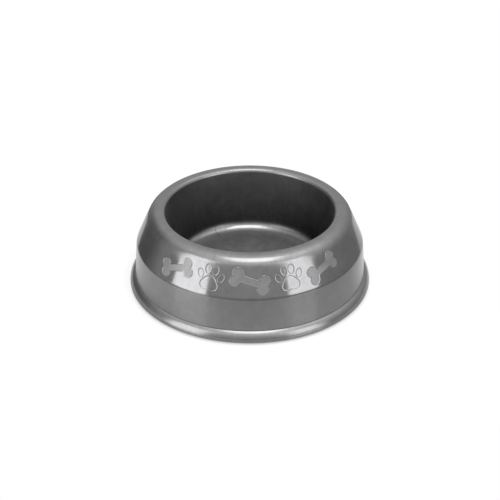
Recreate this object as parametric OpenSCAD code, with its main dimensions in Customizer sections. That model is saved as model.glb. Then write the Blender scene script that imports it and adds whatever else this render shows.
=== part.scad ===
// Low round pet food bowl in metallic grey moulded plastic.
// The basin, the domed rim, the sloping band and the skirt are one thin-walled shell. A base pan
// closes the hollow between basin and skirt, and its rim is the rounded bead at the foot.
// Rubber feet sit in blind sockets of the pan.
// Millimetres, +Z up. The origin is the centre of the circle that the feet stand on.
// Heights that are called "above the bead" count from the underside of the base bead.

/* [Bowl] */
// Overall diameter, across the base bead
base_d = 240; // [210:1:290]
// Height from the underside of the base bead to the top of the rim
bowl_h = 77; // [68:0.5:100]
// Wall of the moulded shell
wall = 2.5; // [2:0.1:3.2]

/* [Skirt and band] */
// How far the base bead stands out from the foot of the skirt
bead_step = 5.6; // [4:0.1:8]
// Lean of the skirt from vertical, in degrees
skirt_draft = 4.5; // [1:0.5:8]
// Height of the crease between skirt and band, above the bead
crease_h = 43; // [34:0.5:50]
// Rounding of the crease
crease_r = 6; // [4:0.5:9]
// Lean of the sloping band from vertical, in degrees
band_angle = 24.3; // [16:0.1:30]

/* [Rim] */
// Width of the rim, from the mouth's edge to where the line of the band meets its top
rim_w = 14; // [13:0.1:18]
// Rounding of the outer shoulder of the rim
rim_r = 12.6; // [8:0.1:14]
// Rounding of the inner edge of the rim
lip_r = 4; // [2.8:0.1:4.8]

/* [Basin] */
// Height of the basin's floor above the bead
floor_h = 10.5; // [10:0.5:16]
// Draft of the basin's wall, in degrees
basin_draft = 3.5; // [1:0.5:7]
// Rounding between the basin's wall and its floor
corner_r = 11; // [6:0.5:16]

/* [Base pan] */
// Height of the base bead, up to the joint with the skirt
bead_h = 10.1; // [9:0.1:13]
// Rounding of the bead's lower edge
bead_edge = 1.1; // [0.6:0.1:1.6]
// Thickness of the pan's plate
pan_t = 2.5; // [2:0.1:3]
// Height of the plate's underside above the bead's underside
pan_lift = 1.5; // [1:0.1:2]
// Thickness of the walls that make up the hollow bead
bead_wall = 2.5; // [2:0.1:3]
// Thickness of the stiffening ribs on the plate
rib_t = 1.8; // [1.2:0.1:2.5]
// Gap between the ribs and the underside of the basin's floor
rib_gap = 0.2; // [0.1:0.05:0.6]
// Radius of the outer support ring under the basin's floor
ring_r = 62; // [50:1:66]
// Radius of the inner support ring
ring2_r = 30; // [20:1:40]

/* [Joint] */
// Thickness of the tongue below the skirt
tongue_t = 1.4; // [1.1:0.1:1.7]
// Depth of the tongue
tongue_h = 3.5; // [2.5:0.1:4.5]
// Clearance round the tongue in its groove
joint_gap = 0.15; // [0.1:0.05:0.25]
// Fine groove that shows along the joint
vee = 0.4; // [0.2:0.1:0.5]

/* [Feet] */
// Diameter of a rubber foot
foot_d = 16; // [12:0.5:18]
// Distance from the outside of the bead to the centre of a foot
foot_inset = 23; // [21.5:0.5:30]
// How far the feet stand below the bead
foot_proud = 1.5; // [1:0.1:3]
// Depth of the blind socket that holds a foot
socket_h = 3; // [2.5:0.1:3.6]
// Clearance round a foot in its socket
foot_gap = 0.15; // [0.1:0.05:0.3]
// Wall round a socket
boss_t = 2; // [1.5:0.1:2.5]
// Rounding of a foot's lower edge
foot_edge = 1.2; // [0.5:0.1:2]

/* [Hidden] */
FEET = 6;
RIBS = 12;
plastic = [0.46, 0.46, 0.47];
rubber = [0.10, 0.10, 0.10];
STEPS = 10;                       // segments of a rounded corner in a profile
FN = 180;

base_r = base_d / 2;
foot_ring = base_r - foot_inset;

// The visible line of the shell: foot of the skirt, crease, shoulder, mouth, floor corner, axis
skirt_r = base_r - bead_step;
crease_x = skirt_r - (crease_h - bead_h) * tan(skirt_draft);
shoulder_x = crease_x - (bowl_h - crease_h) * tan(band_angle);
mouth_r = shoulder_x - rim_w;
basin_r = mouth_r - (bowl_h - floor_h) * tan(basin_draft);
LINE = [[skirt_r, bead_h], [crease_x, crease_h], [shoulder_x, bowl_h], [mouth_r, bowl_h],
        [basin_r, floor_h], [0, floor_h]];
ROUND = [0, crease_r, rim_r, lip_r, corner_r, 0];

// The bead's curve runs from the joint down to the widest point, a height bead_edge above its foot
bead_r = (pow(bead_h - bead_edge, 2) + pow(bead_step, 2)) / (2 * bead_step);

// The joint: a tongue below the inner half of the skirt's wall, in a groove of the pan
tongue_in = skirt_r - wall / cos(skirt_draft);
tongue_out = tongue_in + tongue_t;
groove_z = bead_h - tongue_h - joint_gap;
lip_in = tongue_in - joint_gap - bead_wall;
core_in = lip_in + bead_wall;
core_out = base_r - bead_wall - 0.5;
core_z = groove_z - bead_wall;
plate_z = pan_lift + pan_t;
socket_z = pan_lift + socket_h;

function unit(v) = v / norm(v);
function left(v) = [-v[1], v[0]];
function turn(v, a) = [v[0] * cos(a) - v[1] * sin(a), v[0] * sin(a) + v[1] * cos(a)];

// Point q of a line p-q-s, moved to the left by t so that both of its sides move by t
function moved(p, q, s, t) =
    let (a = left(unit(q - p)), b = left(unit(s - q))) q + (a + b) * t / (1 + a * b);

// The rounded corner q of a line p-q-s
function corner(p, q, s, r) =
    let (d = unit(q - p), e = unit(s - q), w = sign(cross(d, e)), a = acos(d * e),
         c = q - d * r * tan(a / 2) + left(d) * w * r)
    [for (i = [0 : STEPS]) c - turn(left(d), w * a * i / STEPS) * w * r];

// The shell's line at depth t below its visible face: corners that stand out lose t of their
// radius and the hollow one at the floor gains it
function skin(t) =
    let (n = len(LINE) - 1,
         foot = [LINE[0][0] - t / cos(skirt_draft), LINE[0][1]],
         mid = [for (i = [1 : n - 1]) moved(LINE[i - 1], LINE[i], LINE[i + 1], t)],
         v = concat([foot], mid, [[0, LINE[n][1] - t]]))
    concat([foot],
        [for (i = [1 : n - 1]) let (w = sign(cross(v[i] - v[i - 1], v[i + 1] - v[i])))
            each corner(v[i - 1], v[i], v[i + 1], max(ROUND[i] - w * t, 0.3))],
        [v[n]]);

function back(v) = [for (i = [len(v) - 1 : -1 : 0]) v[i]];

// Basin, rim, band and skirt in one revolve, with the tongue below the skirt
module bowl_shell() {
    out = skin(0);
    color(plastic) translate([0, 0, foot_proud]) rotate_extrude($fn = FN)
        polygon(concat(
            [[tongue_out, bead_h], [skirt_r - vee, bead_h],
             [skirt_r - vee * tan(skirt_draft), bead_h + vee]],
            [for (i = [1 : len(out) - 1]) out[i]],
            back(skin(wall)),
            [[tongue_in, bead_h - tongue_h + 0.3], [tongue_in + 0.3, bead_h - tongue_h],
             [tongue_out - 0.3, bead_h - tongue_h], [tongue_out, bead_h - tongue_h + 0.3]]));
}

// Section of the pan: plate, inner foot ring, welding groove, and the hollow bead
module pan_section() {
    a = acos(1 - bead_step / bead_r);
    polygon(concat(
        [[0, pan_lift], [0, plate_z], [lip_in, plate_z], [lip_in, bead_h],
         [core_in, bead_h], [core_in, groove_z],
         [tongue_out + joint_gap, groove_z], [tongue_out + joint_gap, bead_h]],
        [for (i = [0 : STEPS]) let (b = a * (1 - i / STEPS))
            [base_r - bead_r + bead_r * cos(b), bead_edge + bead_r * sin(b)]],
        [for (i = [1 : 4]) [base_r - bead_edge + bead_edge * cos(i * 22.5),
                            bead_edge - bead_edge * sin(i * 22.5)]],
        [[core_out, 0], [core_out - 0.4, core_z], [core_in + 0.4, core_z], [core_in, 0],
         [lip_in, 0], [lip_in, pan_lift]]));
}

module at_feet() for (i = [0 : FEET - 1]) rotate(i * 360 / FEET) translate([foot_ring, 0, 0]) children();

// Stiffening on the hidden side of the plate: two rings under the basin's floor and spokes
module pan_ribs() {
    h = floor_h - wall - rib_gap - plate_z;
    translate([0, 0, plate_z - 0.5]) linear_extrude(h + 0.5) {
        for (r = [ring_r, ring2_r]) difference() {
            circle(r = r + rib_t / 2, $fn = FN);
            circle(r = r - rib_t / 2, $fn = FN);
        }
        for (i = [0 : RIBS - 1]) rotate((i + 0.5) * 360 / RIBS)
            translate([ring2_r, -rib_t / 2]) square([lip_in + 0.5 - ring2_r, rib_t]);
    }
}

module base_pan() {
    color(plastic) translate([0, 0, foot_proud]) difference() {
        union() {
            rotate_extrude($fn = FN) pan_section();
            pan_ribs();
            at_feet() translate([0, 0, pan_lift])
                cylinder(r = foot_d / 2 + foot_gap + boss_t, h = socket_h + boss_t, $fn = 64);
        }
        at_feet() translate([0, 0, -1])
            cylinder(r = foot_d / 2 + foot_gap, h = socket_z + 1, $fn = 64);
    }
}

// One foot: a plug that fills its socket, rounded where it stands
module rubber_foot(i) {
    h = foot_proud + socket_z;
    color(rubber) rotate(i * 360 / FEET) translate([foot_ring, 0, 0]) rotate_extrude($fn = 64)
        polygon(concat([[0, 0]],
            [for (k = [0 : 6]) [foot_d / 2 - foot_edge + foot_edge * sin(k * 15),
                                foot_edge - foot_edge * cos(k * 15)]],
            [[foot_d / 2, h - 0.4], [foot_d / 2 - 0.4, h], [0, h]]));
}

bowl_shell();
base_pan();
rubber_foot(0);  // rubber_foot_1
rubber_foot(1);  // rubber_foot_2
rubber_foot(2);  // rubber_foot_3
rubber_foot(3);  // rubber_foot_4
rubber_foot(4);  // rubber_foot_5
rubber_foot(5);  // rubber_foot_6
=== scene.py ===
# %% [markdown]
# # A metallic grey pet food bowl
# The real bowl is two plastic mouldings, a shell and a base pan, on six rubber feet. The packed
# CAD model gives their places and sizes. This script dresses it: finer surfaces where the light
# shows every facet, the moulded relief on the sloping band, the finish of each material, and a
# plain studio. It starts by loading the frame.

import bmesh
import bpy
import numpy as np
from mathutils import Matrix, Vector


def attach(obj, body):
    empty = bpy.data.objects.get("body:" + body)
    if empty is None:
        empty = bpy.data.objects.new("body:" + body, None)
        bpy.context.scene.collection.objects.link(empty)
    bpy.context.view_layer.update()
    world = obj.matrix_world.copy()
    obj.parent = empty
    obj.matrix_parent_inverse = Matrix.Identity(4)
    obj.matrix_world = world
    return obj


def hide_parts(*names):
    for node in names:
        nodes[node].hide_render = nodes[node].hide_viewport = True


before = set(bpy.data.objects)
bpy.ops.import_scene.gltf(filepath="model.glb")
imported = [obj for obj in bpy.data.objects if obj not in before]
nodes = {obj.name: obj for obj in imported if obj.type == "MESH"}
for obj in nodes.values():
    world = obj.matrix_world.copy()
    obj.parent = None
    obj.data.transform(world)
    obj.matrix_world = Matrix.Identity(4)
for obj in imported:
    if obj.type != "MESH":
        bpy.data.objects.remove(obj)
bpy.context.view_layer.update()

# %% [markdown]
# ## Sizes
# These are the CAD model's values in millimetres, with heights counted from the underside of the
# base bead. LIFT raises everything by the height at which the feet hold it. Only the rounding of
# the crease between band and skirt differs: CREASE_R is softer than in the CAD model, which moves
# the surface there by less than a tenth of a millimetre. The corners of the shell's line follow
# from these values by the drafts, so one changed size moves all that hangs on it.

# %% Sizes of the two mouldings
MM = 0.001
LIFT = 1.5
BASE_R, BOWL_H, WALL = 120.0, 77.0, 2.5
BEAD_STEP, BEAD_H, BEAD_EDGE = 5.6, 10.1, 1.1
SKIRT_DRAFT, CREASE_H, CREASE_R = np.radians(4.5), 43.0, 11.0
BAND_ANGLE, RIM_W, RIM_R, LIP_R = np.radians(24.3), 14.0, 12.6, 4.0
FLOOR_H, BASIN_DRAFT, CORNER_R = 10.5, np.radians(3.5), 11.0
PAN_T, PAN_LIFT, BEAD_WALL = 2.5, 1.5, 2.5
TONGUE_T, TONGUE_H, JOINT_GAP, VEE = 1.4, 3.5, 0.15, 0.4
RINGS, RIB_T, RIB_GAP, RIBS = (62.0, 30.0), 1.8, 0.2, 12
FEET, FOOT_D, FOOT_INSET, FOOT_GAP = 6, 16.0, 23.0, 0.15
SOCKET_H, BOSS_T = 3.0, 2.0

skirt_r = BASE_R - BEAD_STEP
crease_x = skirt_r - (CREASE_H - BEAD_H) * np.tan(SKIRT_DRAFT)
shoulder_x = crease_x - (BOWL_H - CREASE_H) * np.tan(BAND_ANGLE)
mouth_r = shoulder_x - RIM_W
basin_r = mouth_r - (BOWL_H - FLOOR_H) * np.tan(BASIN_DRAFT)
print("mouth radius %.1f, basin floor radius %.1f mm" % (mouth_r, basin_r))

# %% [markdown]
# ## From a line with corners to a moulded profile
# A moulding has no sharp corners: each one is an arc that touches both sides. A Bevel modifier
# would give both faces of a wall the same radius, and the wall would be uneven at each corner. So
# the profile is written as a few corners with a radius each, and the arcs are worked out from
# them. The hidden face of a wall is the same line moved sideways by the wall's thickness, where a
# corner that stands out loses that much of its radius and a hollow one gains it.

# %% Profile helpers
CORNER_STEPS, HIDDEN_CORNER_STEPS = 16, 8
LEAST_R = 0.3                         # radius of a corner that its wall's thickness uses up


def unit(v):
    """v / |v|, with |v| = sqrt(x^2 + y^2)."""
    return v / np.hypot(v[0], v[1])


def left(v):
    """v turned a quarter turn to the left: (x, y) becomes (-y, x)."""
    return np.array([-v[1], v[0]])


def arc_corner(p, q, s, radius, steps):
    """The rounded corner q of the line p-q-s.

    With a the angle by which the line turns, the arc starts radius * tan(a / 2) before q, its
    centre lies radius to the side of the turn, and it sweeps through a.
    """
    d, e = unit(q - p), unit(s - q)
    side = np.sign(d[0] * e[1] - d[1] * e[0])
    a = np.arccos(np.clip(d @ e, -1, 1))
    centre = q - d * radius * np.tan(a / 2) + left(d) * side * radius
    t = side * a * np.linspace(0, 1, steps + 1)[:, None]
    n = left(d)[None]
    turned = np.hstack([n[:, :1] * np.cos(t) - n[:, 1:] * np.sin(t),
                        n[:, :1] * np.sin(t) + n[:, 1:] * np.cos(t)])
    return centre - turned * side * radius


def wall_face(depth, steps=CORNER_STEPS):
    """The shell's line, from the skirt's foot over the rim to the axis, `depth` below its face.

    A corner moves to q + (m + n) * depth / (1 + m.n), where m and n are the normals of its sides.
    """
    q = np.array([[skirt_r, BEAD_H], [crease_x, CREASE_H], [shoulder_x, BOWL_H],
                  [mouth_r, BOWL_H], [basin_r, FLOOR_H], [0, FLOOR_H]])
    radii = [0, CREASE_R, RIM_R, LIP_R, CORNER_R, 0]
    n = np.array([left(unit(b - a)) for a, b in zip(q[:-1], q[1:])])
    v = q.copy()
    v[1:-1] += (n[:-1] + n[1:]) * depth / (1 + (n[:-1] * n[1:]).sum(1))[:, None]
    v[0, 0] -= depth / np.cos(SKIRT_DRAFT)
    v[-1, 1] -= depth
    parts = [v[:1]]
    for i in range(1, len(v) - 1):
        d, e = v[i] - v[i - 1], v[i + 1] - v[i]
        side = np.sign(d[0] * e[1] - d[1] * e[0])
        radius = max(radii[i] - side * depth, LEAST_R)
        parts.append(arc_corner(v[i - 1], v[i], v[i + 1], radius, steps))
    return np.vstack(parts + [v[-1:]])


def with_rings(line, longest):
    """Cuts each side a-b of a line into the least number of equal steps, none over `longest`.

    Point i of n on a side is a + (b - a) * i / n, with n = |b - a| / longest rounded up.
    """
    parts = []
    for a, b in zip(line[:-1], line[1:]):
        n = max(1, int(np.ceil(np.hypot(*(b - a)) / longest)))
        parts.append(a + (b - a) * (np.arange(n) / n)[:, None])
    return np.vstack(parts + [line[-1:]])


# %% [markdown]
# ## Turning a profile round the axis
# Both mouldings are round, apart from the pan's ribs and sockets. A Screw modifier could turn
# their profiles, but all the points that it makes on the axis have to be merged afterwards. Here
# the turned surface is a grid of two parameters, the place along the profile and the angle. The
# profile starts and ends on the axis, and each end is a single point with a fan of triangles, so
# the solid is closed from the start.

# %% Lathe
SHARP = 40.0                          # edges that turn by more than this stay sharp, degrees
TURNS = 360


def mesh_object(name, points, faces, sharp=SHARP):
    """A mesh object from arrays of points (in mm, from the bead's underside) and faces."""
    mesh = bpy.data.meshes.new(name)
    points = (np.asarray(points, float) + [0, 0, LIFT]) * MM
    mesh.from_pydata(points.tolist(), [], [list(map(int, f)) for f in faces])
    mesh.polygons.foreach_set("use_smooth", np.ones(len(mesh.polygons), bool))
    mesh.set_sharp_from_angle(angle=np.radians(sharp))
    mesh.validate()
    mesh.update()
    obj = bpy.data.objects.new(name, mesh)
    bpy.context.scene.collection.objects.link(obj)
    return obj


def lathe(name, line, turns=TURNS):
    """Turns a line (r, z) that starts and ends on the axis: (r cos a, r sin a, z).

    The line runs from the top of the axis outwards and back below, so that the faces look out.
    """
    off_axis = line[1:-1]
    a = np.arange(turns) * 2 * np.pi / turns
    grid = np.stack([off_axis[:, :1] * np.cos(a), off_axis[:, :1] * np.sin(a),
                     np.repeat(off_axis[:, 1:], turns, 1)], 2).reshape(-1, 3)
    points = np.vstack([[[0, 0, line[0, 1]], [0, 0, line[-1, 1]]], grid])
    k = 2 + np.arange(len(off_axis) * turns).reshape(len(off_axis), turns)
    nxt = np.roll(k, -1, 1)
    quads = np.stack([k[:-1], k[1:], nxt[1:], nxt[:-1]], 2).reshape(-1, 4)
    first = np.stack([np.zeros(turns, int), k[0], nxt[0]], 1)
    last = np.stack([np.ones(turns, int), nxt[-1], k[-1]], 1)
    obj = mesh_object(name, points, list(first) + list(quads) + list(last))
    print("%s: %d points in the profile, %d faces" % (name, len(line), len(obj.data.polygons)))
    return obj


# %% [markdown]
# ## The shell
# Basin, rim, band and skirt are one moulding on the real bowl, so they are one line here. It runs
# from the middle of the basin's floor up its wall, over the domed rim and down the band and the
# skirt. A fine V marks the joint with the pan. The tongue that sits in the pan's groove and the
# hidden face follow, back to the axis. Separate pieces for basin and band would show a seam at
# the rim that the real one doesn't have.

# %% Shell
TIP = 0.3                             # bevel at the tongue's tip
SEEN_STEP, HIDDEN_STEP = 3.0, 12.0    # longest steps along the two faces

tongue_in = skirt_r - WALL / np.cos(SKIRT_DRAFT)
tongue_out = tongue_in + TONGUE_T
tip_z = BEAD_H - TONGUE_H
seen = wall_face(0)[::-1].copy()
seen[-1] = [skirt_r - VEE * np.tan(SKIRT_DRAFT), BEAD_H + VEE]
tongue = np.array([[skirt_r - VEE, BEAD_H], [tongue_out, BEAD_H], [tongue_out, tip_z + TIP],
                   [tongue_out - TIP, tip_z], [tongue_in + TIP, tip_z], [tongue_in, tip_z + TIP]])
hidden = wall_face(WALL, HIDDEN_CORNER_STEPS)
shell = lathe("shell", np.vstack([with_rings(seen, SEEN_STEP), tongue,
                                  with_rings(hidden, HIDDEN_STEP)]))

# %% [markdown]
# ## The base pan
# The pan closes the bowl from below, and its rim is the rounded bead that shows all round the
# foot. Its section is a plate with a foot ring and the hollow bead, with the groove that the
# tongue sits in. It is turned like the shell, with small steps only on the bead's curve, which
# is the part that catches the light.

# %% Section of the pan
BEAD_POINTS, EDGE_POINTS = 28, 8
CORE_DRAFT, CORE_BACK = 0.4, 0.5      # lean of the bead's hollow, and how far it keeps inside

bead_r = ((BEAD_H - BEAD_EDGE) ** 2 + BEAD_STEP ** 2) / (2 * BEAD_STEP)
groove_z = BEAD_H - TONGUE_H - JOINT_GAP
core_in = tongue_in - JOINT_GAP
lip_in = core_in - BEAD_WALL
core_out, core_z = BASE_R - BEAD_WALL - CORE_BACK, groove_z - BEAD_WALL
plate_z, socket_z = PAN_LIFT + PAN_T, PAN_LIFT + SOCKET_H
t = np.linspace(np.arccos(1 - BEAD_STEP / bead_r), 0, BEAD_POINTS)[:, None]
bead = np.hstack([BASE_R - bead_r + bead_r * np.cos(t), BEAD_EDGE + bead_r * np.sin(t)])
t = np.linspace(0, np.pi / 2, EDGE_POINTS)[1:, None]
edge = np.hstack([BASE_R - BEAD_EDGE + BEAD_EDGE * np.cos(t), BEAD_EDGE - BEAD_EDGE * np.sin(t)])
pan = lathe("pan", np.vstack([
    [[0, plate_z], [lip_in, plate_z], [lip_in, BEAD_H], [core_in, BEAD_H], [core_in, groove_z],
     [tongue_out + JOINT_GAP, groove_z], [tongue_out + JOINT_GAP, BEAD_H]], bead, edge,
    [[core_out, 0], [core_out - CORE_DRAFT, core_z], [core_in + CORE_DRAFT, core_z], [core_in, 0],
     [lip_in, 0], [lip_in, PAN_LIFT], [0, PAN_LIFT]]]))

# %% [markdown]
# ## Ribs, bosses and sockets
# On the pan's hidden side stand two rings and twelve spokes that hold up the basin's floor, and
# six bosses with blind sockets take the feet. Straight ribs and round holes off the axis don't fit
# a turned grid, so these are prisms that Booleans join to the pan or cut from it. The points that
# the Booleans leave on top of each other are merged, which keeps the solid clean and closed.

# %% Prisms to join and cut with
SPOKE_TURN = 0.5                      # the first spoke is half a step away from the first foot


def prisms(name, x, y, low, high):
    """Upright prisms as one object; row i of x and y is the outline of one.

    Each outline point (x, y) gives (x, y, low) and (x, y, high).
    """
    count, turns = x.shape
    points = np.stack([np.stack([x, y, x * 0 + z], 2) for z in (low, high)], 1).reshape(-1, 3)
    faces = []
    for i in range(count):
        k = i * 2 * turns + np.arange(turns)
        faces += [k[::-1], k + turns]
        faces += list(np.stack([k, np.roll(k, -1), np.roll(k, -1) + turns, k + turns], 1))
    return mesh_object(name, points, faces)


def discs(name, radius, low, high, turns=72):
    """Upright cylinders on the feet's circle of radius c: c (cos b, sin b) + r (cos a, sin a)."""
    a = np.arange(turns) * 2 * np.pi / turns
    b = np.arange(FEET) * 2 * np.pi / FEET
    return prisms(name, (BASE_R - FOOT_INSET) * np.cos(b)[:, None] + radius * np.cos(a),
                  (BASE_R - FOOT_INSET) * np.sin(b)[:, None] + radius * np.sin(a), low, high)


def ring(name, radius, low, high, turns=180):
    """A low wall round the axis: the rectangle (radius -+ RIB_T / 2, low..high), turned."""
    a = np.arange(turns) * 2 * np.pi / turns
    section = np.array([[radius - RIB_T / 2, low], [radius + RIB_T / 2, low],
                        [radius + RIB_T / 2, high], [radius - RIB_T / 2, high]])
    points = np.stack([section[:, :1] * np.cos(a), section[:, :1] * np.sin(a),
                       np.repeat(section[:, 1:], turns, 1)], 2).reshape(-1, 3)
    k = np.arange(4 * turns).reshape(4, turns)
    nxt = np.roll(k, -1, 1)
    faces = np.stack([k, nxt, np.roll(nxt, -1, 0), np.roll(k, -1, 0)], 2).reshape(-1, 4)
    return mesh_object(name, points, faces)


def spokes(name, inner, outer, low, high):
    """Straight ribs: (u, v), along and across, turned to (u cos a - v sin a, u sin a + v cos a)."""
    a = (np.arange(RIBS)[:, None] + SPOKE_TURN) * 2 * np.pi / RIBS
    u, v = np.array([inner, outer, outer, inner]), np.array([-1, -1, 1, 1]) * RIB_T / 2
    return prisms(name, u * np.cos(a) - v * np.sin(a), u * np.sin(a) + v * np.cos(a), low, high)


# %% Join and cut
OVERLAP = 0.5                         # how far a rib reaches into what it stands on
BOSS_SINK, CUT_BELOW = 1.0, -1.0      # start of a boss above the plate's underside, and of a cut
MERGE = 2e-6                          # points closer than this are one, m


def apply_boolean(obj, tool, operation):
    """Applies one Boolean with the exact solver and removes the tool."""
    mod = obj.modifiers.new("join or cut", "BOOLEAN")
    mod.object, mod.operation, mod.solver = tool, operation, "EXACT"
    depsgraph = bpy.context.evaluated_depsgraph_get()
    made = bpy.data.meshes.new_from_object(obj.evaluated_get(depsgraph))
    obj.modifiers.clear()
    obj.data = made
    bpy.data.objects.remove(tool)


rib_low, rib_high = plate_z - OVERLAP, FLOOR_H - WALL - RIB_GAP
hole_r = FOOT_D / 2 + FOOT_GAP
for radius in RINGS:
    apply_boolean(pan, ring("ring", radius, rib_low, rib_high), "UNION")
apply_boolean(pan, spokes("spokes", RINGS[1], lip_in + OVERLAP, rib_low, rib_high), "UNION")
bosses = discs("bosses", hole_r + BOSS_T, PAN_LIFT + BOSS_SINK, socket_z + BOSS_T)
apply_boolean(pan, bosses, "UNION")
apply_boolean(pan, discs("sockets", hole_r, CUT_BELOW, socket_z), "DIFFERENCE")
joined = bmesh.new()
joined.from_mesh(pan.data)
bmesh.ops.remove_doubles(joined, verts=joined.verts, dist=MERGE)
bmesh.ops.dissolve_degenerate(joined, edges=joined.edges, dist=MERGE)
joined.to_mesh(pan.data)
joined.free()
pan.data.set_sharp_from_angle(angle=np.radians(SHARP))
print("pan after its ribs and sockets:", len(pan.data.polygons), "faces")

# %% [markdown]
# ## Shapes of the relief
# Bones and paw prints, an ornament common to pet bowls, stand on the front and on the back of the
# band. A motif's shape is a signed distance: how far a point lies from the outline, below zero
# inside. A drawn curve would do for a flat print, but the height of a relief is a function of the
# distance, which gives every outline the same soft ridge. The distances are built from circles
# and boxes, and `melt` rounds the places where two of them meet, as a mould maker would.

# %% Signed distances of the two motifs
BONE_BAR, BONE_KNUCKLE, BONE_MELT = (11.5, 3.1), (13.0, 4.1, 5.0), 2.2
PAW_PAD, PAW_LOBE, PAW_MELT = (0, -3.5, 6.2), (4.6, -6.7, 4.1), 3.4
PAW_TOES = (3.9, 8.1, 3.1, 4.4, -0.1), (10.2, 2.2, 2.8, 4.1, -0.45)


def circle_d(x, y, cx, cy, rx, ry=None, turn=0.0):
    """Distance to a circle, or nearly so to an ellipse: (|p / r| - 1) * the smaller radius."""
    ry = ry or rx
    c, s = np.cos(turn), np.sin(turn)
    u, v = (x - cx) * c + (y - cy) * s, -(x - cx) * s + (y - cy) * c
    return (np.hypot(u / rx, v / ry) - 1) * min(rx, ry)


def bar_d(x, y, half_l, half_h):
    """Distance to a box: the length of the positive part of |p| - half, plus what is inside."""
    u, v = np.abs(x) - half_l, np.abs(y) - half_h
    return np.hypot(np.maximum(u, 0), np.maximum(v, 0)) + np.minimum(np.maximum(u, v), 0)


def melt(a, b, k):
    """The nearer of two shapes, melted together over k: min(a, b) - k/4 * max(1 - |a-b|/k, 0)^2."""
    return np.minimum(a, b) - k / 4 * np.maximum(1 - np.abs(a - b) / k, 0) ** 2


def bone_d(x, y):
    """A bar with two round knuckles at each end, mirrored both ways by |x| and |y|."""
    x, y = np.abs(x), np.abs(y)
    return melt(bar_d(x, y, *BONE_BAR), circle_d(x, y, *BONE_KNUCKLE), BONE_MELT)


def paw_d(x, y):
    """A pad of three melted circles below four toes, mirrored by |x|."""
    x = np.abs(x)
    pad = melt(circle_d(x, y, *PAW_PAD), circle_d(x, y, *PAW_LOBE), PAW_MELT)
    toes = np.minimum(*[circle_d(x, y, *toe) for toe in PAW_TOES])
    return np.minimum(pad, toes)


# %% [markdown]
# ## Pads that follow the band
# Each motif is a low pad with a fine raised outline. The relief could be carved into the shell's
# own grid, but that would need a finer grid all round. So each pad is a thin closed solid on a
# fine grid of its own, which bends with the band and reaches a little into the wall. Its surface
# dips below the band just outside the outline, so no seam shows where it leaves the surface.

# %% A pad's height and faces
RIDGE_W, RIDGE_H, PAD_H, SINK = 0.5, 0.2, 0.06, 0.9
DIP, FALL = 0.12, 0.3                 # depth at the ridge's foot, and the slope beyond it
REACH = 1.5                           # the pad ends this many ridge widths from the outline
FILL_PASSES = 3
# The step to each neighbour of a cell, and the two corners of the side between them
NEIGHBOURS = ((0, -1, 0, 1), (1, 0, 1, 2), (0, 1, 2, 3), (-1, 0, 3, 0))


def relief_height(d):
    """PAD_H inside, falling to -DIP over RIDGE_W outside, plus RIDGE_H * cos^2 on the outline."""
    inside = PAD_H - (PAD_H + DIP) * np.clip(d / RIDGE_W, 0, 1)
    ridge = np.where(np.abs(d) < RIDGE_W, np.cos(np.clip(d / RIDGE_W, -1, 1) * np.pi / 2) ** 2, 0)
    return inside + RIDGE_H * ridge - np.maximum(d - RIDGE_W, 0) * FALL


def reached_cells(keep):
    """Cells with a kept corner, filled up so that no two of them touch at a corner alone."""
    cell = keep[:-1, :-1] | keep[1:, :-1] | keep[1:, 1:] | keep[:-1, 1:]
    for _ in range(FILL_PASSES):
        a, b, c, e = cell[:-1, :-1], cell[1:, :-1], cell[:-1, 1:], cell[1:, 1:]
        b |= a & e & ~c
        a |= b & c & ~e
    return cell


def closed_faces(cell, count):
    """Faces of a closed solid, for `count` points in front and as many behind.

    They are the cells in front, the same cells behind with their order turned round, and a quad
    from front to back wherever a cell has no neighbour. Returns them, and how many are in front.
    """
    index = np.arange(count).reshape(cell.shape[0] + 1, cell.shape[1] + 1)
    corners = [index[:-1, :-1], index[1:, :-1], index[1:, 1:], index[:-1, 1:]]
    front = np.stack([k[cell] for k in corners], 1)
    faces = [front, front[:, ::-1] + count]
    padded = np.pad(cell, 1)
    rows, columns = padded.shape
    for row, column, i, j in NEIGHBOURS:
        neighbour = padded[1 + row:rows - 1 + row, 1 + column:columns - 1 + column]
        open_side = cell & ~neighbour
        e0, e1 = corners[i][open_side], corners[j][open_side]
        faces.append(np.stack([e1, e0, e0 + count, e1 + count], 1))
    return np.vstack(faces), len(front)


# %% Bones and paws
BAND_MID = 16.2                       # from the crease up the band to the motifs' middle
GRID_STEP, RELIEF_SHARP = 0.32, 60.0
BONE_SIZE, PAW_SIZE = (19.2, 10.4), (14.4, 14.4)
BONE_ANGLES, PAW_ANGLES = (-40, 0, 40), (-20, 20)
BONE_TILTS, PAW_TILTS = (0.3, -0.3, 0.3), (-0.12, 0.12)
FRONT_AND_BACK = (-90, 90)
band_low = np.array([crease_x, CREASE_H])
band_up = np.array([-np.sin(BAND_ANGLE), np.cos(BAND_ANGLE)])
band_out = np.array([np.cos(BAND_ANGLE), np.sin(BAND_ANGLE)])
band_r = (band_low + band_up * BAND_MID)[0]


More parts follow.
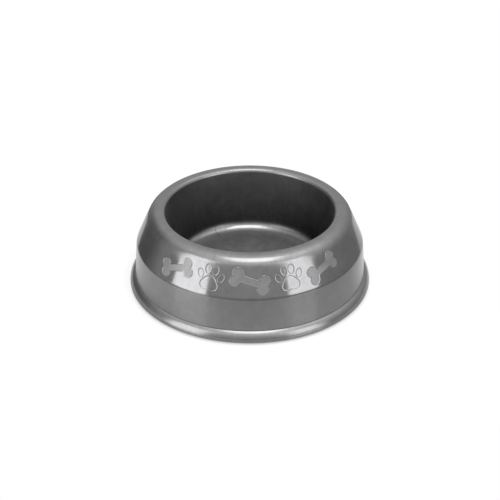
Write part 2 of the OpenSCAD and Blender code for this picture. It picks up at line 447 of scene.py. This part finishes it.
def pads(name, distance, size, angles, tilts):
    """One closed solid for each place: the relief in front, a sunk copy of it behind.

    The grid (p, q) is the motif's own, turned by its tilt to (u, v) on the band. Point (u, v, h)
    lies at the band's radius and height at v, moved h along the band's normal, and at the angle
    a + u / band_r. Also returns which faces lie inside the outline.
    """
    p, q = np.meshgrid(np.arange(-size[0], size[0] + GRID_STEP, GRID_STEP),
                       np.arange(-size[1], size[1] + GRID_STEP, GRID_STEP), indexing="ij")
    d = distance(p, q)
    front = relief_height(d)
    cell = reached_cells(d < RIDGE_W * REACH)
    faces, in_front = closed_faces(cell, d.size)
    used, compact = np.unique(faces, return_inverse=True)
    compact = compact.reshape(-1, 4)
    middle_d = (d[:-1, :-1] + d[1:, :-1] + d[1:, 1:] + d[:-1, 1:]) / 4
    filled = np.zeros(len(faces), bool)
    filled[:in_front] = middle_d[cell] < -RIDGE_W
    places = [(np.radians(side + angle), tilt) for side in FRONT_AND_BACK
              for angle, tilt in zip(angles, tilts)]
    points = []
    for a0, tilt in places:
        u, v = p * np.cos(tilt) - q * np.sin(tilt), p * np.sin(tilt) + q * np.cos(tilt)
        a = a0 + u / band_r
        layers = []
        for h in (front, front * 0 - SINK):
            rz = band_low + band_up * (BAND_MID + v[..., None]) + band_out * h[..., None]
            layers.append(np.stack([rz[..., 0] * np.cos(a), rz[..., 0] * np.sin(a), rz[..., 1]], 2))
        points.append(np.stack(layers).reshape(-1, 3)[used])
    all_faces = np.vstack([compact + i * len(used) for i in range(len(places))])
    obj = mesh_object(name, np.vstack(points), all_faces, sharp=RELIEF_SHARP)
    print("%s: %d motifs, %d faces" % (name, len(places), len(obj.data.polygons)))
    return obj, np.tile(filled, len(places))


bones, bone_fill = pads("relief_bones", bone_d, BONE_SIZE, BONE_ANGLES, BONE_TILTS)
paws, _ = pads("relief_paws", paw_d, PAW_SIZE, PAW_ANGLES, PAW_TILTS)

# %% [markdown]
# ## Placing the pieces
# Nothing moves on a bowl, so every piece rides on the one body. The finer shell with its relief
# stands for the CAD shell, and the finer pan for the CAD pan. The CAD feet are shown as they are.

# %% Bodies and nodes
for piece, cad_node, slot in ((shell, "bowl_shell", "bowl_plastic"),
                              (pan, "base_pan", "pan_plastic")):
    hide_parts(cad_node)
    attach(piece, "root")
for piece in (bones, paws):
    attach(piece, "root")
print("pieces placed: shell, pan, relief_bones, relief_paws and", FEET, "feet")

# %% [markdown]
# ## Helpers for shader nodes
# A material is a small network. Each node takes numbers, colours or the output of another node.
# It could be clicked together in the shader editor, but a network in code can be read, compared
# and repeated. One function adds a node and fills its inputs, and a few short ones name the steps
# that come up again and again.

# %% Node helpers
NOISE_LOW, NOISE_HIGH = 0.3, 0.7      # most of a noise lies between these


def add(tree, kind, inputs=(), **settings):
    """Adds a node of a kind, sets its properties, and fills its inputs by name or number.

    A value that is a socket is linked, and anything else becomes the input's own value.
    """
    made = tree.nodes.new(kind)
    for key, value in settings.items():
        setattr(made, key, value)
    for key, value in dict(inputs).items():
        if isinstance(value, bpy.types.NodeSocket):
            tree.links.new(value, made.inputs[key])
        else:
            made.inputs[key].default_value = value
    return made


def math(tree, operation, a, b=0.0, c=0.0):
    """One arithmetic step; returns its output socket."""
    return add(tree, "ShaderNodeMath", {0: a, 1: b, 2: c}, operation=operation).outputs[0]


def times(tree, first, *others):
    """The product of all its values."""
    for value in others:
        first = math(tree, "MULTIPLY", first, value)
    return first


def between(tree, value, low, high, to_low=0.0, to_high=1.0):
    """Carries value from low..high to to_low..to_high, clamped at both ends."""
    return add(tree, "ShaderNodeMapRange",
               {"Value": value, "From Min": low, "From Max": high,
                "To Min": to_low, "To Max": to_high}).outputs[0]


def noise(tree, vector, scale, detail=2.0, distortion=0.0):
    """Soft noise from 0 to 1, with `scale` features per unit of the vector."""
    return add(tree, "ShaderNodeTexNoise", {"Vector": vector, "Scale": scale, "Detail": detail,
                                            "Distortion": distortion}).outputs[0]


def spread(tree, pattern, amount, middle=0.0):
    """Carries a noise to middle - amount .. middle + amount."""
    return between(tree, pattern, NOISE_LOW, NOISE_HIGH, middle - amount, middle + amount)


def scaled(tree, vector, factor):
    """A vector or colour times a number."""
    return add(tree, "ShaderNodeVectorMath", {0: vector, "Scale": factor},
               operation="SCALE").outputs[0]


# %% [markdown]
# ## Zones of the shell
# On the real bowl the finish follows the mould and the use. The band is polished, so the
# softboxes show crisp edges there. The basin's wall and floor are duller, soft clouds lie on the
# floor, and the fillet between them is smooth. The basin is darker by painted shade: the wall
# gets darker downwards and to the right, the whole floor darker under its clouds, and the
# fillet's highlight fades towards its sides. Separate materials would change at a hard edge. So
# one material asks where a point lies, by its radius r, its height z and x, and blends. A zone is
# a pair in mm: nothing of it shows at the first number and all of it at the second. Where a ramp
# has four numbers, the last two are what it gives there.

# %% Finish of the zones
ON_BAND, BELOW_SHOULDER, OUTSIDE = (42, 47), (72, 64), (84, 88)
ON_FLOOR, FLAT_FLOOR = (74, 68), (71, 61)
WALL_OUT, WALL_IN = (84, 82), (76, 78)
FILLET_IN, FILLET_OUT, LOW_WALL = (68, 74), (77.5, 76), (81, 78.5)
# What each zone adds to the roughness
BAND_DULL, FLOOR_DULL, WALL_DULL = -0.12, 0.48, 0.14
FILLET_DULL = (4, 14, -0.095, -0.03)
# Painted shade: how much darker it gets down the wall and to its right, and at the fillet's sides
PAINTED_SHADE_WALL_DOWN, PAINTED_SHADE_WALL_RIGHT = (74, 24, 0.0, 0.6), (45, 80, 0.0, 0.27)
PAINTED_SHADE_FILLET_LEFT, PAINTED_SHADE_FILLET_RIGHT = (-22, -52, 0.0, 0.3), (20, 42, 0.0, 0.45)
# Clouds on the floor, which painted shade darkens all over: scale, detail and distortion of the
# noise, and its spread and middle
CLOUDS, CLOUD_AND_SHADE_TONE = (0.045, 3.0, 2.6), (-0.08, 0.32)


def by_zone(tree, mm, x, z, r, tone, dull):
    """The tone and the roughness with each zone's share added, and the painted shade; returns both.
    """
    band = times(tree, between(tree, z, *ON_BAND), between(tree, z, *BELOW_SHOULDER),
                 between(tree, r, *OUTSIDE))
    walls = times(tree, between(tree, r, *WALL_OUT), between(tree, r, *WALL_IN))
    fillet = times(tree, between(tree, r, *FILLET_IN), between(tree, r, *FILLET_OUT))
    # low: where the painted shade at the fillet's sides lies
    low = times(tree, between(tree, r, *FILLET_IN), between(tree, r, *LOW_WALL))
    for zone, amount in ((band, BAND_DULL), (between(tree, r, *ON_FLOOR), FLOOR_DULL),
                         (walls, WALL_DULL), (fillet, between(tree, x, *FILLET_DULL))):
        dull = math(tree, "MULTIPLY_ADD", zone, amount, dull)
    # real cloudy mottle on the floor, on top of painted shade that darkens the whole flat floor
    clouds_and_shade = spread(tree, noise(tree, mm, *CLOUDS), *CLOUD_AND_SHADE_TONE)
    # painted shade: the basin's wall gets darker downwards and to the right
    painted_wall_shade = math(tree, "ADD", between(tree, z, *PAINTED_SHADE_WALL_DOWN), between(tree, x, *PAINTED_SHADE_WALL_RIGHT))
    # painted shade: the fillet, and so its highlight, gets darker towards its left and right sides
    sides = math(tree, "ADD", between(tree, x, *PAINTED_SHADE_FILLET_LEFT), between(tree, x, *PAINTED_SHADE_FILLET_RIGHT))
    tone = math(tree, "SUBTRACT", tone, times(tree, between(tree, r, *FLAT_FLOOR), clouds_and_shade))
    tone = math(tree, "SUBTRACT", tone, times(tree, walls, painted_wall_shade))
    tone = times(tree, tone, math(tree, "SUBTRACT", 1.0, times(tree, low, sides)))
    return tone, dull


# %% [markdown]
# ## The weld line
# Where two fronts of the melt met, a fine dark line crosses the basin's fillet at the back left
# and fades out on the floor. It is too fine for the mesh, so it is a dark stroke with a slight
# dent. For the direction w, a point's distance from the line is |x sin w - y cos w|, and its
# place along the line is x cos w + y sin w.

# %% Weld line
WELD_AT = np.radians(118.5)
WELD_WIDTH, WELD_START, WELD_END = (1.1, 0.3), (56, 69), (78, 76)
WELD_DARK, WELD_DENT = -0.26, -0.06


def weld_line(tree, x, y):
    """1 on the line and 0 away from it, by the two formulas above."""
    off = math(tree, "ABSOLUTE", math(tree, "SUBTRACT", times(tree, x, np.sin(WELD_AT)),
                                      times(tree, y, np.cos(WELD_AT))))
    along = math(tree, "ADD", times(tree, x, np.cos(WELD_AT)), times(tree, y, np.sin(WELD_AT)))
    return times(tree, between(tree, off, *WELD_WIDTH), between(tree, along, *WELD_START),
                 between(tree, along, *WELD_END))


# %% [markdown]
# ## Metallic moulded plastic
# Polypropylene with fine aluminium flakes mirrors like a dull, dark metal. In the shader that is
# an almost wholly metallic surface of middling roughness. The melt enters at the middle of the
# floor and flows over the rim, which leaves faint streaks along the meridians: noise that hardly
# changes with r and z, but quickly with the direction (x / r, y / r), gives just that. Soft
# mottling, the flakes and a fine grain in the bump come on top. The fill of the bones was blasted
# in the mould, so it is rougher and less metallic. All of it is computed from Object coordinates
# in millimetres, so it stays with the piece and has the right scale.

# %% Plastic
GREY = (0.24, 0.24, 0.244, 1)
# Scale of each noise, then its detail and distortion where they aren't the usual ones
STREAKS, MOTTLE, GRAIN, FLAKES = (16.0, 3.0), (0.05, 4.0, 1.4), (1.1,), (0.4,)
STREAK_RUN = 0.004                    # how slowly a streak changes on its way over the bowl
STREAK_TONE, MOTTLE_TONE, FLAKE_TONE = 0.04, 0.05, 0.035        # spread of the tone
MOTTLE_DULL, GRAIN_DULL = 0.02, 0.02                            # spread of the roughness
STREAK_H, GRAIN_H = 0.02, 0.006       # heights of the bump, mm
NEAR_AXIS = 0.01                      # keeps r above zero, mm^2


def plastic(name, rough=0.24, zones=False, grain=1.0, metallic=0.94):
    """The flake-filled plastic: a dull metal with a little grey of its own below."""
    mat = bpy.data.materials.new(name)
    mat.use_nodes = True
    tree = mat.node_tree
    shader = tree.nodes["Principled BSDF"]
    mm = scaled(tree, add(tree, "ShaderNodeTexCoord").outputs["Object"], 1 / MM)
    x, y, z = add(tree, "ShaderNodeSeparateXYZ", {0: mm}).outputs
    y2 = math(tree, "MULTIPLY_ADD", y, y, NEAR_AXIS)
    r = math(tree, "SQRT", math(tree, "MULTIPLY_ADD", x, x, y2))
    meridian = add(tree, "ShaderNodeCombineXYZ",
                   {0: math(tree, "DIVIDE", x, r), 1: math(tree, "DIVIDE", y, r),
                    2: times(tree, math(tree, "SUBTRACT", z, r), STREAK_RUN)}).outputs[0]
    streaks = noise(tree, meridian, *STREAKS)
    mottle = noise(tree, mm, *MOTTLE)
    fine = noise(tree, mm, *GRAIN)
    flakes = noise(tree, mm, *FLAKES)
    tone = math(tree, "ADD", spread(tree, streaks, STREAK_TONE, 1.0),
                spread(tree, mottle, MOTTLE_TONE))
    tone = math(tree, "ADD", tone, spread(tree, flakes, FLAKE_TONE))
    height = math(tree, "MULTIPLY_ADD", fine, GRAIN_H * grain, times(tree, streaks, STREAK_H))
    dull = math(tree, "ADD", spread(tree, mottle, MOTTLE_DULL, rough),
                spread(tree, fine, GRAIN_DULL))
    if zones:
        tone, dull = by_zone(tree, mm, x, z, r, tone, dull)
        line = weld_line(tree, x, y)
        tone = math(tree, "MULTIPLY_ADD", line, WELD_DARK, tone)
        height = math(tree, "MULTIPLY_ADD", line, WELD_DENT, height)
    bump = add(tree, "ShaderNodeBump", {"Height": height, "Distance": MM, "Strength": 1.0})
    tree.links.new(scaled(tree, GREY[:3], tone), shader.inputs["Base Color"])
    tree.links.new(dull, shader.inputs["Roughness"])
    tree.links.new(bump.outputs[0], shader.inputs["Normal"])
    shader.inputs["Metallic"].default_value = metallic
    print("%s: %d nodes" % (name, len(tree.nodes)))
    return mat


shell_plastic = plastic("metallic grey plastic", zones=True)
pan_plastic = plastic("metallic grey plastic of the pan")
matte_plastic = plastic("matte fill of the relief", rough=0.42, grain=2.5, metallic=0.7)

# %% [markdown]
# ## Rubber
# The feet are black rubber, which is dull and a little uneven, with a dusty bloom. A single dark
# colour would look like a hole below the bowl, so the bloom lightens it in soft patches and makes
# these duller, and fine pits break up the surface.

# %% Rubber
BLACK = (0.03, 0.03, 0.03)
BLOOM, PITS, PIT_H = (220.0, 4.0), (1500.0,), 0.0001            # the last one in m
BLOOM_TONE, BLOOM_DULL = (0.35, 1.15), (0.1, 0.65)              # spread and middle
rubber = bpy.data.materials.new("black rubber")
rubber.use_nodes = True
tree = rubber.node_tree
shader = tree.nodes["Principled BSDF"]
place = add(tree, "ShaderNodeTexCoord").outputs["Object"]
bloom = noise(tree, place, *BLOOM)
pits = add(tree, "ShaderNodeBump", {"Height": noise(tree, place, *PITS), "Distance": PIT_H})
tree.links.new(scaled(tree, BLACK, spread(tree, bloom, *BLOOM_TONE)), shader.inputs["Base Color"])
tree.links.new(spread(tree, bloom, *BLOOM_DULL), shader.inputs["Roughness"])
tree.links.new(pits.outputs[0], shader.inputs["Normal"])
print("black rubber: %d nodes" % len(tree.nodes))

# %% [markdown]
# ## Each piece gets its finish
# A piece has one material slot for each finish, and every face says which slot it uses. The faces
# inside the bones take the matte fill, and the paws stay polished, as the band is.

# %% Finishes
for piece, finishes in ((shell, [shell_plastic]), (pan, [pan_plastic]),
                        (bones, [shell_plastic, matte_plastic]), (paws, [shell_plastic])):
    piece.data.materials.clear()
    for finish in finishes:
        piece.data.materials.append(finish)
bones.data.polygons.foreach_set("material_index", bone_fill.astype(np.int32))
for i in range(FEET):
    foot = nodes["rubber_foot_%d" % (i + 1)]
    foot.data.materials.clear()
    foot.data.materials.append(rubber)
print("materials:", ", ".join(m.name for m in bpy.data.materials))

# %% [markdown]
# ## The table
# The bowl stands on a small white table, as for a product photograph: past its edge the plastic
# mirrors a dimmer room, and the camera sees white. Strong lamps could make the table white too,
# but they would wash out the bowl. So the white is a little light of the table's own, which only
# camera rays see in full. Rays that leave the glossy plastic see a share of it that depends on
# the place on the table: small in front, largest close behind the bowl, and middling at the left,
# a little away from the foot. Light that falls on the bowl by any other way sees none of it.

# %% Table
LEFT, RIGHT, FRONT, BACK = -0.205, 0.238, -0.235, 0.20          # edges of the table, m
TABLE_Z = -0.0001                     # just clear of the feet
TABLE_GREY, TABLE_ROUGH, TABLE_LIGHT = (0.42, 0.42, 0.42, 1), 0.15, 0.47
# Shares of the table's light that glossy rays see, as ramps over y, x or r in metres
BEHIND_Y, BEHIND_X = (-0.04, 0.06, 0.3, 1.5), (-0.15, 0.0, 0.4, 1.0)
BEHIND_R = (0.13, 0.2, 1.0, 0.2)
BESIDE_X, BESIDE_Y = (-0.02, -0.16, 0.0, 0.6), (0.05, 0.13, 1.0, 0.3)
BESIDE_R = (0.125, 0.142, 0.2, 1.0)

table_mesh = bpy.data.meshes.new("table")
table_mesh.from_pydata([(LEFT, FRONT, TABLE_Z), (RIGHT, FRONT, TABLE_Z), (RIGHT, BACK, TABLE_Z),
                        (LEFT, BACK, TABLE_Z)], [], [(0, 1, 2, 3)])
floor = bpy.data.objects.new("table", table_mesh)
bpy.context.scene.collection.objects.link(floor)
white = bpy.data.materials.new("white table")
white.use_nodes = True
tree = white.node_tree
shader = tree.nodes["Principled BSDF"]
shader.inputs["Base Color"].default_value = TABLE_GREY
shader.inputs["Roughness"].default_value = TABLE_ROUGH
shader.inputs["Emission Color"].default_value = (1, 1, 1, 1)
rays = add(tree, "ShaderNodeLightPath").outputs
place = add(tree, "ShaderNodeTexCoord").outputs["Object"]
x, y, z = add(tree, "ShaderNodeSeparateXYZ", {0: place}).outputs
r = math(tree, "SQRT", math(tree, "MULTIPLY_ADD", x, x, times(tree, y, y)))
behind = times(tree, between(tree, y, *BEHIND_Y), between(tree, x, *BEHIND_X),
               between(tree, r, *BEHIND_R))
beside = times(tree, between(tree, x, *BESIDE_X), between(tree, y, *BESIDE_Y),
               between(tree, r, *BESIDE_R))
direct = math(tree, "MAXIMUM", rays["Is Camera Ray"], rays["Is Transmission Ray"])
share = math(tree, "MULTIPLY_ADD", rays["Is Glossy Ray"], math(tree, "ADD", behind, beside), direct)
tree.links.new(times(tree, share, TABLE_LIGHT), shader.inputs["Emission Strength"])
table_mesh.materials.append(white)
print("table: %.3f x %.3f m" % (RIGHT - LEFT, BACK - FRONT))

# %% [markdown]
# ## Lamps
# The photograph shows a broad light overhead, mirrored on the rim, the bead and the basin's
# fillet, and a tall softbox on each side of the camera, mirrored on the band. Each is an area
# light. A mesh that glows would do as well, but Blender samples an area light with less noise.

# %% Lamps
OVERHEAD, OVERHEAD_SIZE, OVERHEAD_RADIANCE = (0.04, -0.3, 1.2), 0.66, 2.8
# Azimuth from the camera's side, width, lower and upper edge, all in degrees, and radiance
SOFTBOXES = {"left box": (-56.5, 34, -3, 42, 2.6), "right box": (49.8, 29, 3, 41, 2.25)}
BOX_DISTANCE = 1.3


def lamp(name, place, towards, width, height, radiance):
    """A flat softbox. An area light of P watts and area A shines with radiance P / (pi * A)."""
    light = bpy.data.lights.new(name, "AREA")
    light.shape, light.size, light.size_y = "RECTANGLE", width, height
    light.energy = radiance * np.pi * width * height
    obj = bpy.data.objects.new(name, light)
    obj.location = place
    obj.rotation_euler = (Vector(towards) - Vector(place)).to_track_quat("-Z", "Y").to_euler()
    obj.visible_camera = False
    bpy.context.scene.collection.objects.link(obj)
    print("%s: %.2f x %.2f m, %.1f W" % (name, width, height, light.energy))


def strip_box(name, azimuth, width, low, top, radiance):
    """An upright softbox at distance D that spans heights D tan(low) to D tan(top)."""
    a = np.radians(azimuth)
    low, top = BOX_DISTANCE * np.tan(np.radians([low, top]))
    middle = (low + top) / 2
    place = (np.sin(a) * BOX_DISTANCE, -np.cos(a) * BOX_DISTANCE, middle)
    width = 2 * BOX_DISTANCE * np.tan(np.radians(width / 2))
    lamp(name, place, (0, 0, middle), width, top - low, radiance)


lamp("overhead", OVERHEAD, OVERHEAD[:2] + (0,), OVERHEAD_SIZE, OVERHEAD_SIZE, OVERHEAD_RADIANCE)
for name, measures in SOFTBOXES.items():
    strip_box(name, *measures)

# %% [markdown]
# ## The room around
# Between the softboxes the plastic mirrors the room, so its greys matter as much as the lamps. A
# picture of a studio could light the scene, but this room is a function of direction instead. For
# a direction (x, y, z) of length 1, z says how high it points, and with h the length of (x, y),
# the squares of x / h and y / h say how much it points sideways or along; they add up to 1. Each
# of the four sides has its own ramp over z. A black panel stands far round to the left, and dims
# the directions near its own. The camera sees plain white.

# %% World
HEIGHTS = (-0.3, -0.17, 0, 0.17, 0.34, 0.5, 0.64, 0.77, 0.87, 0.94, 1.0)
ROOM_FRONT = (0.34, 0.36, 0.5, 0.63, 0.78, 0.88, 1.2, 1.5, 1.5, 1.6, 1.5)
ROOM_LEFT = (0.42, 0.5, 0.55, 0.5, 0.5, 0.55, 0.8, 1.2, 1.4, 1.3, 1.5)
ROOM_RIGHT = (0.25, 0.33, 0.43, 0.54, 0.66, 0.85, 1.12, 1.5, 2.1, 1.8, 1.5)
ROOM_BACK = (0.3, 0.35, 0.5, 0.6, 0.66, 0.74, 0.9, 1.05, 1.1, 1.3, 1.5)
PANEL_AT = np.radians(-127)
PANEL_FACING, PANEL_HEIGHT = (0.87, 0.99), (0.8, 0.35, 0.0, 0.64)
STRAIGHT_UP = 1e-6                    # keeps h above zero

world = bpy.data.worlds.new("studio")
bpy.context.scene.world = world
world.use_nodes = True
tree = world.node_tree
tree.nodes.clear()
direction = add(tree, "ShaderNodeTexCoord").outputs["Generated"]
x, y, z = add(tree, "ShaderNodeSeparateXYZ", {0: direction}).outputs
h2 = math(tree, "MAXIMUM", math(tree, "SUBTRACT", 1.0, times(tree, z, z)), STRAIGHT_UP)
up = between(tree, z, HEIGHTS[0], 1.0)
total = 0.0
for axis, sign, levels in ((y, -1.0, ROOM_FRONT), (x, -1.0, ROOM_LEFT), (x, 1.0, ROOM_RIGHT),
                           (y, 1.0, ROOM_BACK)):
    ramp = add(tree, "ShaderNodeValToRGB", {0: up})
    stops = ramp.color_ramp.elements
    while len(stops) < len(HEIGHTS):
        stops.new(1.0)
    for stop, height, level in zip(stops, HEIGHTS, levels):
        stop.position = (height - HEIGHTS[0]) / (1.0 - HEIGHTS[0])
        stop.color = (level,) * 3 + (1,)
    facing = math(tree, "MAXIMUM", times(tree, axis, sign), 0.0)
    share = math(tree, "DIVIDE", times(tree, facing, facing), h2)
    total = math(tree, "MULTIPLY_ADD", share, ramp.outputs["Color"], total)
to_panel = math(tree, "MULTIPLY_ADD", x, np.sin(PANEL_AT), times(tree, y, -np.cos(PANEL_AT)))
facing = math(tree, "DIVIDE", to_panel, math(tree, "SQRT", h2))
panel = times(tree, between(tree, facing, *PANEL_FACING), between(tree, z, *PANEL_HEIGHT))
total = times(tree, total, math(tree, "SUBTRACT", 1.0, panel))
rays = add(tree, "ShaderNodeLightPath").outputs
direct = math(tree, "MAXIMUM", rays["Is Camera Ray"], rays["Is Transmission Ray"])
shown = add(tree, "ShaderNodeMix", {0: direct, 2: total, 3: 1.0}, data_type="FLOAT").outputs[0]
sky = add(tree, "ShaderNodeBackground", {"Color": (1, 1, 1, 1), "Strength": shown})
tree.links.new(sky.outputs[0], add(tree, "ShaderNodeOutputWorld").inputs[0])
print("room: %d nodes" % len(tree.nodes))

# %% [markdown]
# ## Camera
# The photograph looks down at 30.6 degrees from 1.1 m. The lens is long, so the far side of the
# rim is hardly smaller than the near side. The small shift puts the bowl where the photograph
# has it.

# %% Camera
CAM_EL, CAM_D, CAM_TARGET_Z = np.radians(30.59), 1.0989, 0.0365
FOCAL_PX, IMAGE_PX, SENSOR_MM = 1105.1, 500, 36
SHIFT_X, SHIFT_Y, FAR_CLIP = 0.0004, -0.01128, 50
cam_data = bpy.data.cameras.new("camera")
cam = bpy.data.objects.new("camera", cam_data)
bpy.context.scene.collection.objects.link(cam)
cam.location = (0, -CAM_D * np.cos(CAM_EL), CAM_TARGET_Z + CAM_D * np.sin(CAM_EL))
cam.rotation_euler = (np.pi / 2 - CAM_EL, 0, 0)
cam_data.sensor_width = SENSOR_MM
cam_data.lens = FOCAL_PX * SENSOR_MM / IMAGE_PX
cam_data.shift_x, cam_data.shift_y = SHIFT_X, SHIFT_Y
cam_data.clip_end = FAR_CLIP
bpy.context.scene.camera = cam
bpy.context.scene.view_settings.view_transform = "Standard"
print("lens: %.1f mm" % cam_data.lens)
